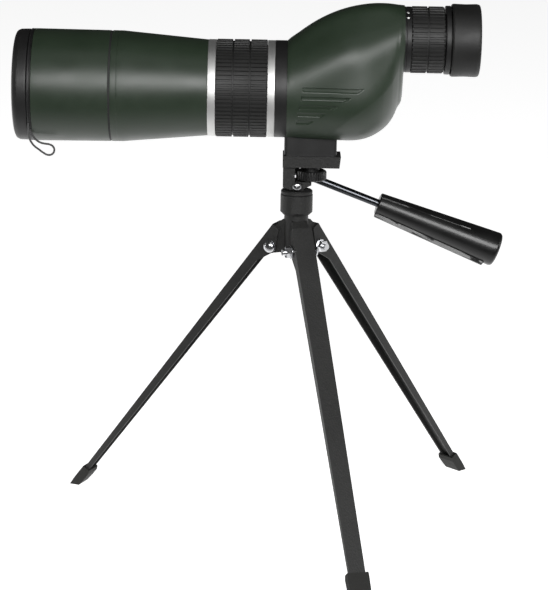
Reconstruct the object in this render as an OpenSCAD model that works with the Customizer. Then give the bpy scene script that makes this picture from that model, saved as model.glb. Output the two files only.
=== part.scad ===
// Spotting scope on a folding tabletop tripod.
// The floor is Z = 0, the objective points along -X, and the near leg stands towards -Y.
// Everything is laid out from the tripod's column, which stands at (column_x, column_y).

/* [Place] */
// Distance of the tripod's column from the origin along X
column_x = 23.2; // [20:0.1:30]
// Distance of the tripod's column from the origin along Y
column_y = 22.7; // [18:0.1:28]

/* [Tripod] */
// Height of the leg pivots above the floor
pivot_z = 182.3; // [175:0.1:190]
// Distance of each leg pivot from the column's axis
pivot_r = 15.2; // [14.8:0.1:16]
// Angle of an open leg from the vertical, in degrees
leg_spread = 36.5; // [34:0.1:38]
// Compass direction of the near leg, in degrees
near_azimuth = -74.5; // [-90:0.5:-65]
// Compass direction of the right leg, in degrees
right_azimuth = 41.5; // [38:0.5:48]
// Compass direction of the left leg, in degrees
left_azimuth = 158; // [155:0.5:168]
// Width of a leg across its web, at the top
leg_w = 13.2; // [13:0.1:15]
// Width of a leg across its web, at the foot
leg_w_low = 10.2; // [9:0.1:12]
// Thickness of the leg's folded sheet
leg_t = 1.2; // [1:0.05:1.5]
// Radius of the bolts that the legs turn on
bolt_r = 2; // [1.8:0.05:2.2]

/* [Pan and tilt head] */
// Height of the tilt axis above the floor
tilt_z = 223.3; // [223:0.1:224.4]
// Radius of the pan lock collar
collar_r = 10.4; // [10.2:0.1:11]
// Radius of the pan spindle
spindle_r = 5.5; // [5.2:0.05:5.6]
// Underside of the platform
platform_z = 236; // [235.6:0.1:236.4]
// Thickness of the platform
platform_t = 7.4; // [7:0.1:8]
// Half the depth of the platform
platform_y = 10.5; // [9:0.1:13]
// Distance of the camera screw from the column's axis
screw_x = 9.1; // [8.8:0.1:9.4]
// Radius of the camera screw
screw_r = 3.1; // [3:0.01:3.14]
// Radius of the knurled knob on the camera screw
knob_r = 9.8; // [9:0.1:10]

/* [Pan handle] */
// Slope of the handle below the horizontal, in degrees
handle_slope = 20.7; // [18:0.05:25]
// Radius of the chrome rod
rod_r = 2.6; // [2:0.05:2.8]
// Distance from the head to the near end of the grip
grip_start = 58.2; // [50:0.1:65]
// Length of the grip
grip_len = 84; // [70:0.5:90]
// Radius of the grip at its near end
grip_r0 = 7.1; // [6:0.1:7.5]
// Radius of the grip at its far end
grip_r1 = 11.3; // [10:0.1:12]

/* [Telescope] */
// Height of the objective's axis above the floor
tube_z = 285; // [284:0.1:286.5]
// Height of the eyepiece's axis above the objective's axis
eyepiece_rise = 32.9; // [32.5:0.1:34]
// Radius of the hood at the front
hood_r = 35.5; // [35.4:0.05:36]
// Radius of the aluminium trim rings
trim_r = 30.65; // [30.4:0.05:30.8]
// Radius over the focus ring's ribs
focus_r = 30.95; // [30.8:0.05:31.6]
// Number of ribs around the focus ring
focus_ribs = 68; // [40:1:80]
// Radius over the zoom ring's ribs
zoom_r = 21.05; // [20.8:0.05:21.3]
// Number of ribs around the zoom ring
zoom_ribs = 44; // [30:1:56]
// Radius of the rubber eyecup
eyecup_r = 23; // [22.8:0.05:23.6]

/* [Hidden] */
$fn = 96;

// Running clearance between a shaft and its bore, and the gap between parts that pass
run = 0.05;
gap = 0.3;

// Telescope stations along X, from the column's axis
cap_x0 = -179.6;
rim_x0 = -169.8;
hood_x0 = -167.4;
seam_x0 = -119.3;
barrel_x0 = -118.1;
cone_x0 = -110.5;
trim_x0 = -57.5;
focus_x0 = -52.3;
focus_x1 = -20.2;
rear_trim_x0 = -20;
adapter_x0 = -15.2;
housing_x0 = -7.6;
housing_x1 = 65.7;
zoom_x0 = 70;
zoom_x1 = 90.6;
base_x0 = 91.5;
base_x1 = 94.9;
eyecup_x0 = 95.4;
eyecup_x1 = 113.5;
// Ends of the cap's plug and of the rim ring inside the hood, and the cap's inner face
plug_x1 = -163.4;
rim_x1 = -163;
cap_face_x = -176;
// Ends of the tube that carries the eyepiece
eye_tube_x0 = 59.5;
eye_tube_x1 = 103.5;

// Telescope radii
hood_back_r = 35.15;
rim_bore_r = 32;
spigot_r = 33.4;
cell_r = 32.5;
lens_r = 30;
guide_r = 27.5;
guide_bore_r = 24.6;
focus_core_r = 29.6;
adapter_r = 30.75;
eye_tube_r = 16.5;
eye_bore_r = 14;
zoom_core_r = 19.4;
base_r = 21.7;
base_sleeve_r = 18.5;

// Prism housing
wall = 2.7;
crest_x = 51.3;
crest_z = 54.9;
crest_r = 80;
belly_x = 33.9;
belly_r = 31.7;
prism_half = 23;
prism_t = 18;
prism_trim_r = 18.6;
beam_r = 7;

// Head
platform_top = platform_z + platform_t;
pad_t = 0.8;
post_x0 = -9.1;
post_x1 = -1.5;
post_y = 8;
cheek_x1 = 9.2;
cheek_top = tilt_z + 2.9;
slot_y = 4.3;
slot_top = tilt_z + 3.2;
knuckle_r = 3;
tilt_pin_r = 1.8;
nose_down = 15;
nose_up = 25;
disc_top = 220;
disc_z = 217.6;
collar_z0 = 204;
collar_z1 = disc_z - gap;
neck_r = 7.7;
neck_top = 214.9;
core_r = 7.8;
core_z0 = 178.7;
core_z1 = 202.5;
spindle_z0 = 190.5;
crown_web_z0 = 187;
pan_screw_r = 2;
knob_z0 = tilt_z + 3.3;
knob_z1 = knob_z0 + 6.4;
rod_y = 14;
rod_z = 229.6;
flange_h = 2.2;
flange_turn = 25;
foot_top_z = tube_z - 25;
foot_screw_x = [0.5, 17.7];

// Leg, in its own frame: n is outward and s runs up the leg from the pivot
web_n = 7.7;
leg_top_s = 13;
leg_end_s = -224;
boot_top_s = -215.5;
ear_half = 5.1;
leg_azimuths = [near_azimuth, right_azimuth, left_azimuth];

// Cap tether: a soft cord 1.3 mm thick, from the column's axis and the objective's axis
tether_r = 0.65;
tether_route = [
    [-169.2, -28.9, -19.8], [-169.3, -28.6, -22.6], [-169.3, -26.6, -26.6],
    [-169.0, -24.2, -30.4], [-168.0, -22.0, -33.6], [-166.2, -20.6, -36.2],
    [-163.6, -19.6, -38.4], [-160.8, -19.0, -40.6], [-158.0, -18.6, -42.0],
    [-155.4, -18.4, -41.5], [-154.0, -18.3, -39.2], [-154.8, -18.4, -36.6],
    [-157.0, -18.8, -35.2], [-159.6, -19.4, -34.7], [-162.2, -20.2, -34.0],
    [-164.6, -21.2, -32.4], [-166.4, -22.4, -30.2], [-167.5, -23.6, -27.9],
    [-168.2, -24.6, -26.2], [-168.3, -25.2, -24.4]];

// Colours
green = [0.17, 0.22, 0.18];
black = [0.09, 0.09, 0.09];
rubber = [0.12, 0.12, 0.12];
crinkle = [0.22, 0.22, 0.22];
silver = [0.78, 0.78, 0.8];
chrome = [0.85, 0.86, 0.88];
brass = [0.75, 0.6, 0.3];
glass = [0.75, 0.85, 0.9, 0.5];

// ---- Shared shapes ----

// Points of an arc about (cx, cy), as steps + 1 points
function arc(cx, cy, r, a0, a1, steps = 8) =
    [for (i = [0 : steps]) let (a = a0 + (a1 - a0) * i / steps) [cx + r * cos(a), cy + r * sin(a)]];

// How far a spherical lens face of radius big_r falls back at radius r
function sag(big_r, r) = big_r - sqrt(big_r * big_r - r * r);

module at_column() translate([column_x, column_y, 0]) children();

// Children drawn along Z about the origin, laid along X on an optical axis
module on_axis(rise = 0) at_column() translate([0, 0, tube_z + rise]) rotate([0, 90, 0]) children();

// A solid of revolution from [x, r] points
module turned(points, rise = 0)
    on_axis(rise) rotate_extrude() polygon([for (p = points) [p[1], p[0]]]);

module ring(x0, x1, r_out, r_in, rise = 0)
    turned([[x0, r_in], [x0, r_out], [x1, r_out], [x1, r_in]], rise);

// A biconvex lens between two planes at its edge, bulging by the sag of big_r
module convex_lens(x0, x1, r, big_r, rise = 0) turned(concat(
    [for (i = [0 : 8]) let (q = r * i / 8) [x0 + sag(big_r, q) - sag(big_r, r), q]],
    [for (i = [8 : -1 : 0]) let (q = r * i / 8) [x1 - sag(big_r, q) + sag(big_r, r), q]]), rise);

// A ribbed sleeve: an outline with count shallow grooves, extruded along the axis
function ribbed(count, r, depth) = [for (i = [0 : count - 1]) for (k = [0 : 3])
    let (a = 360 / count * (i + [0, 0.56, 0.64, 0.92][k]), q = k < 2 ? r : r - depth)
    [q * cos(a), q * sin(a)]];

// An outline in the X-Z plane, given depth y either side of y_mid
module slab_xz(points, half_y, y_mid = 0)
    translate([0, y_mid, 0]) rotate([90, 0, 0]) linear_extrude(2 * half_y, center = true) polygon(points);

// ---- Objective end ----

module objective_cap() color(black) turned(concat(
    [[cap_x0, 0]], arc(cap_x0 + 2.6, 32.6, 2.6, 180, 90),
    [[rim_x0 - gap, 35.2], [rim_x0 - gap, rim_bore_r - run], [plug_x1, rim_bore_r - run],
     [plug_x1, 30.4], [cap_face_x, 30.4], [cap_face_x, 0]]));

module objective_rim_ring() color(black) turned([
    [rim_x0, rim_bore_r], [rim_x0, hood_r - 0.3], [rim_x0 + 0.3, hood_r], [hood_x0, hood_r],
    [hood_x0, spigot_r], [rim_x1, spigot_r], [rim_x1, rim_bore_r]]);

module objective_hood() color(green) turned([
    [hood_x0, spigot_r], [hood_x0, hood_r], [seam_x0, hood_back_r], [seam_x0, cell_r],
    [-128, cell_r], [-128, 33], [rim_x1, 33], [rim_x1, spigot_r]]);

module barrel_seam_ring() color(black) ring(seam_x0, barrel_x0, hood_back_r - 0.3, cell_r);

module objective_cell() color(black) turned([
    [-128, lens_r], [-128, cell_r], [-106.5, cell_r], [-106.5, 28.5], [-109, 28.5], [-109, lens_r]]);

module objective_front_lens() color(glass) convex_lens(-118, -116, lens_r, 130);

module objective_rear_lens() color(glass) turned(concat(
    [for (i = [0 : 8]) let (q = lens_r * i / 8) [-112.4 - sag(130, q), q]],
    [[-109, lens_r], [-109, 0]]));

module objective_retainer() color(black) ring(-122, -118.4, lens_r, 28.6);

// The tether is a tube of 8 sides swept along its route
module cap_tether() {
    sides = 8;
    n = len(tether_route);
    function unit(v) = v / norm(v);
    function heading(i) = unit(tether_route[min(i + 1, n - 1)] - tether_route[max(i - 1, 0)]);
    function across(i) = unit(cross(heading(i), [0, 1, 0]));
    function vertex(i, k) = tether_route[i] + tether_r * (
        cos(360 * k / sides) * across(i) + sin(360 * k / sides) * cross(heading(i), across(i)));
    color(black) at_column() translate([0, 0, tube_z]) polyhedron(
        points = [for (i = [0 : n - 1]) for (k = [0 : sides - 1]) vertex(i, k)],
        faces = concat(
            [[for (k = [0 : sides - 1]) k]],
            [for (i = [0 : n - 2]) for (k = [0 : sides - 1]) let (m = (k + 1) % sides)
                [i * sides + k, (i + 1) * sides + k, (i + 1) * sides + m, i * sides + m]],
            [[for (k = [sides - 1 : -1 : 0]) (n - 1) * sides + k]]));
}

// ---- Barrel and focus ----

module main_barrel() color(green) turned([
    [barrel_x0, cell_r], [barrel_x0, hood_back_r], [cone_x0, hood_back_r], [trim_x0, 30.4],
    [trim_x0, guide_r], [-66, guide_r], [-66, 28], [-106.5, 31.5], [-106.5, cell_r]]);

module front_trim_ring() color(silver) ring(trim_x0, focus_x0 - 0.2, trim_r, guide_r);

module guide_tube() color(black) difference() {
    ring(-66, housing_x0 + 8, guide_r, guide_bore_r);
    // Straight slot for the focus cell's drive pin
    at_column() translate([-45, -1.6, tube_z + 20]) cube([20, 3.2, 10]);
}

module focus_ring_core() color(black) ring(focus_x0, focus_x1, focus_core_r, guide_r + run);

module focus_ring_grip() color(rubber) difference() {
    on_axis() translate([0, 0, focus_x0]) linear_extrude(focus_x1 - focus_x0)
        polygon(ribbed(focus_ribs, focus_r, 0.7));
    ring(focus_x0 - 1, focus_x1 + 1, focus_core_r, 0);
    for (x = [-41, -30.7]) ring(x - 0.5, x + 0.5, focus_r + 1, focus_r - 1.1);
}

module focus_lens_cell() color(black) {
    turned([[-43, 21], [-43, guide_bore_r - run], [-27, guide_bore_r - run], [-27, 19.5],
            [-31, 19.5], [-31, 21]]);
    // Drive pin
    at_column() translate([-35, 0, tube_z + 23]) cylinder(h = 3.9, r = 1.5);
}

module focus_lens() color(glass) convex_lens(-35.4, -31.4, 21, 90);

module rear_trim_ring() color(silver) ring(rear_trim_x0, adapter_x0, trim_r, guide_r);

module adapter_ring() color(black) ring(adapter_x0, housing_x0, adapter_r, guide_r);

// ---- Prism housing ----

// The housing's rounded form, drawn in by inset on every side
module housing_form(inset) at_column() translate([0, 0, tube_z]) hull() {
    translate([housing_x0 + 2 * inset, 0, 0]) rotate([0, 90, 0]) cylinder(h = 0.5, r = adapter_r - inset);
    translate([housing_x1 - 2 - inset, 0, eyepiece_rise]) rotate([0, 90, 0])
        cylinder(h = 2 - (inset > 0 ? 1 : 0), r = 21.5 - inset, $fn = 48);
    for (y = [-1.5, 1.5]) translate([belly_x, y, -0.4]) sphere(belly_r - inset, $fn = 48);
    for (y = [-9, 9]) translate([belly_x, y, 20]) sphere(24 - inset, $fn = 32);
    slab_xz(concat([[crest_x, 25]], arc(crest_x, crest_z - crest_r, crest_r - inset, 90,
        inset > 0 ? 130 : 134.5, 14)), 9 - inset);
}

module prism_housing() color(green) difference() {
    union() {
        difference() {
            housing_form(0);
            housing_form(wall);
        }
        // Pad inside the floor that the foot's screws bite into
        intersection() {
            housing_form(0.5);
            at_column() translate([-4, -5, tube_z - 33]) cube([27, 10, 5]);
        }
    }
    on_axis() translate([0, 0, housing_x0 - 1]) cylinder(h = 9, r = guide_r);
    on_axis(eyepiece_rise) translate([0, 0, 54]) cylinder(h = 13, r = eye_tube_r);
    foot_screw_holes(1.5);
}

module prism_plate() color(black) difference() {
    intersection() {
        housing_form(wall);
        at_column() translate([27.2, -40, tube_z - 40]) cube([2.6, 80, 100]);
    }
    for (p = [[0, 0], [eyepiece_rise / 2, eyepiece_rise / 2], [0, eyepiece_rise]])
        at_column() translate([20, p[0], tube_z + p[1]]) rotate([0, 90, 0]) cylinder(h = 20, r = beam_r);
}

// A right-angle prism with rounded ends: its long face is at x, its apex points along dir
module porro_prism(x, rise, turn, dir)
    at_column() translate([x, eyepiece_rise / 4, tube_z + rise]) rotate([turn, 0, 0]) intersection() {
        slab_xz([[0, -prism_half], [0, prism_half], [dir * prism_half, 0]], prism_t / 2);
        rotate([0, 90, 0]) cylinder(h = 60, r = prism_trim_r, center = true);
    }

module prism_front() color(glass) porro_prism(27.2, eyepiece_rise * 0.75, 45, -1);

module prism_rear() color(glass) porro_prism(29.8, eyepiece_rise * 0.25, -45, 1);

// ---- Eyepiece ----

module eyepiece_collar() color(black) ring(housing_x1, zoom_x0 - 0.2, 20.75, eye_tube_r, eyepiece_rise);

module eyepiece_tube() color(black) ring(eye_tube_x0, eye_tube_x1, eye_tube_r, eye_bore_r, eyepiece_rise);

module zoom_ring_core() color(black)
    ring(zoom_x0, zoom_x1, zoom_core_r, eye_tube_r + run, eyepiece_rise);

module zoom_ring_grip() color(rubber) intersection() {
    difference() {
        on_axis(eyepiece_rise) translate([0, 0, zoom_x0]) linear_extrude(zoom_x1 - zoom_x0)
            polygon(ribbed(zoom_ribs, zoom_r, 0.6));
        ring(zoom_x0 - 1, zoom_x1 + 1, zoom_core_r, 0, eyepiece_rise);
        ring(79.8, 80.8, zoom_r + 1, zoom_r - 1, eyepiece_rise);
    }
    // Bevelled ends
    turned([[zoom_x0, 0], [zoom_x0, zoom_r - 0.5], [zoom_x0 + 0.5, zoom_r + 0.1],
            [zoom_x1 - 1.2, zoom_r + 0.1], [zoom_x1, zoom_r - 1.1], [zoom_x1, 0]], eyepiece_rise);
}

module zoom_cell(x0, x1) color(black) turned([
    [x0, 11], [x0, eye_bore_r - run], [x1, eye_bore_r - run], [x1, 10], [x1 - 2, 10], [x1 - 2, 11]],
    eyepiece_rise);

module zoom_front_cell() zoom_cell(64, 72);

module zoom_front_lens() color(glass) convex_lens(66.2, 69.7, 11, 45, eyepiece_rise);

module zoom_rear_cell() zoom_cell(80, 88);

module zoom_rear_lens() color(glass) convex_lens(82.2, 85.7, 11, 45, eyepiece_rise);

module eye_lens_cell() color(black) turned([
    [94, 12], [94, eye_bore_r], [eye_tube_x1, eye_bore_r], [eye_tube_x1, 11], [101.5, 11], [101.5, 12]], eyepiece_rise);

module eye_lens() color(glass) convex_lens(96.6, 101.1, 12, 40, eyepiece_rise);

module eyecup_base() color(black) turned([
    [base_x0, eye_tube_r], [base_x0, base_r], [base_x1, base_r], [base_x1, base_sleeve_r],
    [eye_tube_x1, base_sleeve_r], [eye_tube_x1, eye_tube_r]], eyepiece_rise);

module eyecup() color(rubber) turned(concat(
    [[eyecup_x0, base_r + 0.15], [eyecup_x0, eyecup_r - 0.4], [eyecup_x0 + 0.5, eyecup_r]],
    arc(eyecup_x1 - 2, eyecup_r - 2, 2, 90, 0),
    [[eyecup_x1, 20.4], [109, 15.5], [107, 15.5], [107, base_sleeve_r + run],
     [98.4, base_sleeve_r + run], [98.4, base_r + 0.15]]), eyepiece_rise);

// ---- Scope foot ----

// Holes or shanks of the two screws that hold the foot to the housing
module foot_screw_holes(r) for (x = foot_screw_x)
    at_column() translate([x, 0, platform_top - 1]) cylinder(h = 13.6, r = r);

module foot_screw_heads(r, h) for (x = foot_screw_x)
    at_column() translate([x, 0, platform_top + 1.4 - h]) cylinder(h = h, r = r);

module scope_foot() color(black) difference() {
    at_column() translate([0, 0, platform_top]) linear_extrude(foot_top_z - platform_top) polygon(concat(
        arc(22.9, 6.5, 2, 0, 90, 4), arc(-6.6, 6.5, 2, 90, 180, 4),
        arc(-6.6, -6.5, 2, 180, 270, 4), arc(22.9, -6.5, 2, 270, 360, 4)));
    housing_form(0);
    on_axis() translate([0, 0, -20]) cylinder(h = 20, r = adapter_r);
    foot_screw_holes(1.5);
    foot_screw_heads(2.8, 4);
    at_column() translate([screw_x, 0, platform_top - 1]) cylinder(h = 9, r = 4.6);
}

module foot_insert() color(brass) at_column() translate([screw_x, 0, platform_top]) difference() {
    cylinder(h = 8, r = 4.6);
    translate([0, 0, -1]) cylinder(h = 8, r = screw_r + 0.07);
}

module foot_screws() color(chrome) difference() {
    union() {
        intersection() {
            foot_screw_holes(1.5);
            at_column() translate([-20, -20, platform_top + 0.4]) cube([60, 40, 30]);
        }
        foot_screw_heads(2.8, 1.2);
    }
    for (x = foot_screw_x) at_column() translate([x - 2, -0.4, platform_top - 0.4]) cube([4, 0.8, 1.2]);
}

// ---- Tilting platform ----

// Side outline of the bracket: platform on a post, with cheeks below that clear the disc as it tilts
function cheek_low(x, slope) = tilt_z + (abs(x) * sin(slope) - knuckle_r) / cos(slope);

module tilt_bracket() color(crinkle) at_column() difference() {
    union() {
        slab_xz([[-9.4, platform_z], [26.8, platform_z], [27.6, platform_top], [-9.4, platform_top]],
            platform_y);
        slab_xz(concat([[post_x1, platform_z], [post_x0, platform_z],
                [post_x0, cheek_low(post_x0, nose_down)]],
            arc(0, tilt_z, knuckle_r, 270 - nose_down, 270 + nose_up, 6),
            [[cheek_x1, cheek_low(cheek_x1, nose_up)], [cheek_x1, cheek_top], [post_x1, cheek_top]]), post_y);
        // Arm and boss behind the post that hold the handle's rod
        translate([post_x0, post_y - 0.5, 226]) cube([post_x1 - post_x0, 6.5, 10]);
        rod_frame() translate([0, 0, -6.6]) cylinder(h = 7.6, r = 4.4);
    }
    // Slot that the pan stem's tongue stands in
    translate([-15, -slot_y, tilt_z - 8]) cube([30, 2 * slot_y, slot_top - tilt_z + 8]);
    translate([0, 0, tilt_z]) rotate([90, 0, 0]) cylinder(h = 40, r = tilt_pin_r, center = true);
    // Recesses for the tilt screw's head and for its nut
    translate([0, -post_y - 1, tilt_z]) rotate([-90, 0, 0]) cylinder(h = 1.8, r = 3.9);
    translate([0, post_y - 0.8, tilt_z]) rotate([-90, 0, 0]) cylinder(h = 3.4, r = 3.9);
    translate([screw_x, 0, platform_z - 1]) cylinder(h = 10, r = screw_r + 0.1);
    translate([-7.4, -8.5, platform_top - pad_t]) cube([33, 17, 2]);
    rod_frame() translate([0, 0, -5.4]) cylinder(h = 8, r = rod_r + run);
}

module platform_pad() color(rubber) at_column() difference() {
    translate([-7.4, -8.5, platform_top - pad_t]) cube([33, 17, pad_t]);
    translate([screw_x, 0, platform_z]) cylinder(h = 10, r = 4);
}

module camera_screw() color(chrome) at_column() translate([screw_x, 0, knob_z1]) cylinder(h = 16.5, r = screw_r);

module camera_knob() color(black) at_column() translate([screw_x, 0, 0]) {
    translate([0, 0, knob_z0]) linear_extrude(knob_z1 - knob_z0) polygon(ribbed(30, knob_r, 0.6));
    // Hub under the platform, around the screw
    translate([0, 0, knob_z1]) difference() {
        cylinder(h = platform_z - gap - knob_z1, r = 5.2);
        translate([0, 0, -0.5]) cylinder(h = 6, r = screw_r);
    }
}

module tilt_screw() color(chrome) at_column() translate([0, 0, tilt_z]) rotate([90, 0, 0]) {
    translate([0, 0, -post_y - 2.4]) cylinder(h = 2 * post_y + 2.4 - 0.8 + 0.2, r = tilt_pin_r);
    // Domed head in the near cheek's recess
    translate([0, 0, post_y - 0.8]) rotate_extrude() polygon(concat([[0, 0]],
        [for (i = [0 : 8]) [2.9 * cos(90 * i / 8), 0.5 + 1.7 * sin(90 * i / 8)]]));
}

module tilt_nut() color(chrome) at_column() translate([0, post_y - 0.8, tilt_z]) rotate([-90, 0, 0]) difference() {
    cylinder(h = 2.4, r = 3, $fn = 6);
    translate([0, 0, -1]) cylinder(h = 5, r = tilt_pin_r);
}

// ---- Handle ----

// Z along the rod, from the boss down towards the grip
module rod_frame() translate([post_x1, rod_y, rod_z]) rotate([0, 90 + handle_slope, 0]) children();

module handle_rod() color(chrome) at_column() rod_frame()
    translate([0, 0, -5]) cylinder(h = grip_start + 35, r = rod_r);

module handle_grip() color(black) at_column() rod_frame() difference() {
    union() {
        translate([0, 0, grip_start]) rotate_extrude() polygon(concat([[0, 0], [grip_r0 - 0.5, 0], [grip_r0, 0.6]],
            arc(grip_r1 - 1.5, grip_len - 3.5, 1.5, 0, 60, 4), [[0, grip_len]]));
        // Moulded flange below and towards the near side, following the flare
        rotate([90, 0, -flange_turn]) linear_extrude(1.8, center = true) polygon([
            [3, grip_start - 0.1], [grip_r0 + flange_h, grip_start - 0.1],
            [grip_r1 + flange_h, grip_start + grip_len - 6], [3, grip_start + grip_len - 4.6]]);
    }
    translate([0, 0, grip_start - 1]) cylinder(h = 32, r = rod_r);
}

// ---- Pan head ----

module pan_stem() color(crinkle) at_column() difference() {
    union() {
        translate([0, 0, disc_z]) rotate_extrude() polygon([[0, 0], [10.2, 0], [10.2, 1.7],
            [9.6, disc_top - disc_z], [0, disc_top - disc_z]]);
        slab_xz(concat([[-4.5, disc_top - 0.5], [4.5, disc_top - 0.5]],
            arc(0, tilt_z, 2.9, 15, 165, 10)), slot_y - 0.2);
        translate([0, 0, spindle_z0]) cylinder(h = disc_z - spindle_z0 + 0.5, r = spindle_r);
    }
    translate([0, 0, tilt_z]) rotate([90, 0, 0]) cylinder(h = 20, r = tilt_pin_r + run, center = true);
    translate([0, 0, spindle_z0 - 1]) cylinder(h = 12, r = pan_screw_r);
}

module pan_screw() color(chrome) at_column() {
    translate([0, 0, crown_web_z0 - gap - 0.5]) cylinder(h = 14, r = pan_screw_r);
    translate([0, 0, crown_web_z0 - gap - 3]) cylinder(h = 3, r = 3.5);
}

module pan_collar() color(crinkle) at_column() difference() {
    translate([0, 0, collar_z0]) rotate_extrude() polygon([[0, 0], [8.6, 0], [collar_r, 1.8],
        [collar_r, collar_z1 - collar_z0 - 0.4], [collar_r - 0.4, collar_z1 - collar_z0],
        [0, collar_z1 - collar_z0]]);
    translate([0, 0, collar_z0 - 1]) cylinder(h = neck_top + 0.2 - collar_z0 + 1, r = neck_r + run);
    translate([0, 0, collar_z0]) cylinder(h = 20, r = spindle_r + run);
    // Flats for a spanner, front and back
    for (y = [-collar_r - 5 + 0.5, collar_r - 0.5]) translate([-10, y, collar_z0 + 1.8]) cube([20, 5, 8]);
}

// ---- Tripod crown ----

// Point in the (r, z) plane from a leg's n and s
function leg_point(n, s) = [
    pivot_r + n * cos(leg_spread) - s * sin(leg_spread), pivot_z + n * sin(leg_spread) + s * cos(leg_spread)];

// Each ear fits inside a leg's channel, and the leg's web rests on its sloping edge when open
module ear() slab_xz(concat([[0, core_z0 + 0.3], [9, core_z0]], arc(pivot_r, pivot_z, 4.8, -115, 30, 10),
    [leg_point(web_n - leg_t - 0.15, 3), leg_point(web_n - leg_t - 0.15, leg_top_s - 1.5),
     [core_r, core_z1 - 2], [0, core_z1 - 2]]), ear_half);

module crown() color(crinkle) at_column() difference() {
    union() {
        translate([0, 0, core_z0]) cylinder(h = core_z1 - core_z0, r = core_r);
        translate([0, 0, core_z1 - 1]) cylinder(h = neck_top - core_z1 + 1, r = neck_r);
        for (a = leg_azimuths) rotate([0, 0, a]) ear();
    }
    translate([0, 0, spindle_z0 - 0.3]) cylinder(h = 40, r = spindle_r + run);
    translate([0, 0, core_z0 - 1]) cylinder(h = 20, r = pan_screw_r + run);
    translate([0, 0, core_z0 - 1]) cylinder(h = crown_web_z0 - core_z0 + 1, r = 4.2);
    for (a = leg_azimuths) bolt_frame(a) cylinder(h = 30, r = bolt_r, center = true);
}

// Z along the bolt of the leg at azimuth a, from the middle of the leg
module bolt_frame(a) rotate([0, 0, a]) translate([pivot_r, 0, pivot_z]) rotate([-90, 0, 0]) children();

module leg_bolts() color(chrome) at_column() for (a = leg_azimuths) bolt_frame(a) {
    translate([0, 0, -13.3]) cylinder(h = 21.5, r = bolt_r);
    // Low domed head
    translate([0, 0, leg_w / 2 + 1.1]) rotate_extrude() polygon(concat([[0, 0]],
        [for (i = [0 : 6]) [3.7 * cos(90 * i / 6), 1 + 1.8 * sin(90 * i / 6)]]));
}

module leg_nuts() color(chrome) at_column() for (a = leg_azimuths) bolt_frame(a) difference() {
    translate([0, 0, -leg_w / 2 - 4.3]) cylinder(h = 3.2, r = 3.9, $fn = 6);
    cylinder(h = 40, r = bolt_r, center = true);
}

module leg_washers() color(chrome) at_column() for (a = leg_azimuths) bolt_frame(a) difference() {
    for (z = [-leg_w / 2 - 1.1, leg_w / 2 + 0.2]) translate([0, 0, z]) cylinder(h = 0.9, r = 4.2);
    cylinder(h = 40, r = bolt_r, center = true);
}

// ---- Legs ----

// Leg frame: X outward (n), Y along the bolt, Z up the leg (s)
module leg_frame(a) at_column() rotate([0, 0, a]) translate([pivot_r, 0, pivot_z])
    rotate([0, -leg_spread, 0]) children();

// The leg's outline from the side, with a rounded lug around the bolt
leg_side = concat([[web_n, leg_end_s], [web_n, leg_top_s], [2.2, leg_top_s]],
    arc(0, 0, 4.4, 120, 215, 8), [[1.2, -14], [4.5, leg_end_s]]);

// The leg from the front: parallel at the top, then tapering to the foot
module leg_front(trim) rotate([90, 0, 90]) linear_extrude(60, center = true) polygon([
    [-leg_w / 2 + trim, leg_top_s + 1], [-leg_w / 2 + trim, -16], [-leg_w_low / 2 + trim, leg_end_s - 1],
    [leg_w_low / 2 - trim, leg_end_s - 1], [leg_w / 2 - trim, -16], [leg_w / 2 - trim, leg_top_s + 1]]);

module leg_envelope() intersection() {
    slab_xz(leg_side, 20);
    leg_front(0);
}

// A folded-sheet channel, open towards the column
module leg(a) color(crinkle) leg_frame(a) difference() {
    leg_envelope();
    intersection() {
        translate([-40 + web_n - leg_t, -20, leg_end_s - 2]) cube([40, 40, leg_top_s - leg_end_s + 4]);
        leg_front(leg_t);
    }
    rotate([90, 0, 0]) cylinder(h = 30, r = bolt_r + 0.08, center = true);
}

// A rubber boot, cut level with the floor
module boot(a) color(rubber) intersection() {
    leg_frame(a) difference() {
        intersection() {
            slab_xz([[8.8, boot_top_s], [3.4, boot_top_s], [2.4, boot_top_s - 2.5],
                [2.6, boot_top_s - 8], [5, -250], [8.1, -250], [9, boot_top_s - 11]], 20);
            rotate([90, 0, 90]) linear_extrude(60, center = true) polygon([
                [-6.7, boot_top_s + 1], [-6.9, boot_top_s - 3], [-5.8, -250],
                [5.8, -250], [6.9, boot_top_s - 3], [6.7, boot_top_s + 1]]);
        }
        leg_envelope();
    }
    translate([-400, -400, 0]) cube(800);
}

module leg_near() leg(leg_azimuths[0]);
module leg_right() leg(leg_azimuths[1]);
module leg_left() leg(leg_azimuths[2]);
module foot_near() boot(leg_azimuths[0]);
module foot_right() boot(leg_azimuths[1]);
module foot_left() boot(leg_azimuths[2]);

objective_cap();
cap_tether();
objective_rim_ring();
objective_hood();
objective_cell();
objective_front_lens();
objective_rear_lens();
objective_retainer();
barrel_seam_ring();
main_barrel();
front_trim_ring();
guide_tube();
focus_ring_core();
focus_ring_grip();
focus_lens_cell();
focus_lens();
rear_trim_ring();
adapter_ring();
prism_housing();
prism_plate();
prism_front();
prism_rear();
eyepiece_collar();
eyepiece_tube();
zoom_ring_core();
zoom_ring_grip();
zoom_front_cell();
zoom_front_lens();
zoom_rear_cell();
zoom_rear_lens();
eye_lens_cell();
eye_lens();
eyecup_base();
eyecup();
scope_foot();
foot_insert();
foot_screws();
platform_pad();
tilt_bracket();
camera_screw();
camera_knob();
tilt_screw();
tilt_nut();
handle_rod();
handle_grip();
pan_stem();
pan_screw();
pan_collar();
crown();
leg_bolts();
leg_nuts();
leg_washers();
leg_near();
leg_right();
leg_left();
foot_near();
foot_right();
foot_left();
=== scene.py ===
"""Looks for the spotting scope on its tabletop tripod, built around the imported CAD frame.

Lengths are in metres. Stations and radii come from the CAD nodes' own boxes wherever a piece
stands for a node, and details are sized in millimetres with the factor mm.
"""

import math

import bmesh
import bpy
import numpy as np
from mathutils import Matrix, Vector


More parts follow.
